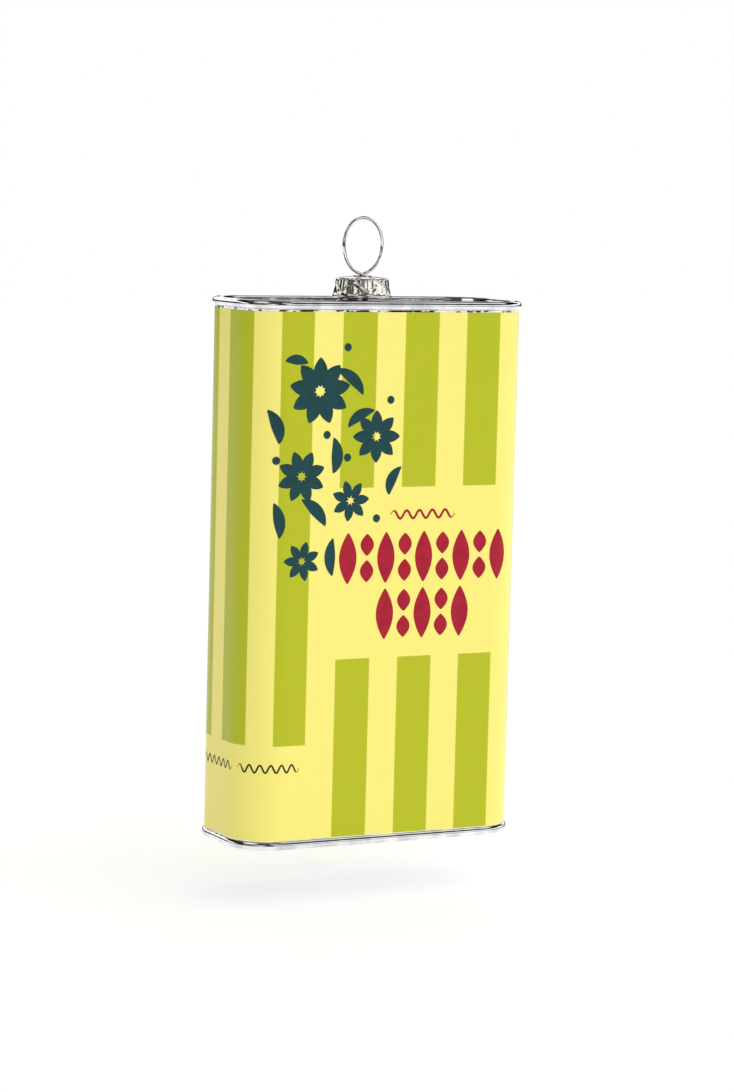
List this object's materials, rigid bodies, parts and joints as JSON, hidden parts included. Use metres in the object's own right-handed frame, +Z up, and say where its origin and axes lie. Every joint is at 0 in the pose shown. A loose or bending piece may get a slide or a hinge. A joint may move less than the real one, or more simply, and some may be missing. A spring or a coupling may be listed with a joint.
{
  "type": "glass hanging ornament",
  "caption": "Silvered glass hanging ornament shaped like a flat oil tin, with a striped film wrap, a fluted crown cap that pulls off and a sprung wire ring.",
  "frame": {"origin": "middle of the base, on the surface that the lower bead stands on", "axes": "+Z up through the neck and the ring, X along the width, Y along the depth with the front face towards -Y"},
  "size_m": [0.0696, 0.0294, 0.1382],
  "materials": {
    "silvered_glass": "blown glass silvered on the inside, mirror gloss",
    "printed_film": "glossy printed film, yellow with upright olive-green bands",
    "cap_metal": "bright stamped sheet with a champagne tint",
    "wire_metal": "bright nickel-plated spring wire"
  },
  "bodies": {
    "glass": {"glass_body": "silvered_glass", "label_wrap": "printed_film"},
    "cap": {"crown_cap": "cap_metal"},
    "hanger": {"hanger_wire": "wire_metal"}
  },
  "joints": [
    {"name": "cap_lift", "type": "slide", "parent": "glass", "child": "cap", "axis": [0, 0, 1], "range_m": [0, 0.018]},
    {"name": "hanger_turn", "type": "hinge", "parent": "cap", "child": "hanger", "pos_m": [-0.0017, 0, 0.125], "axis": [0, 0, 1], "continuous": true}
  ]
}
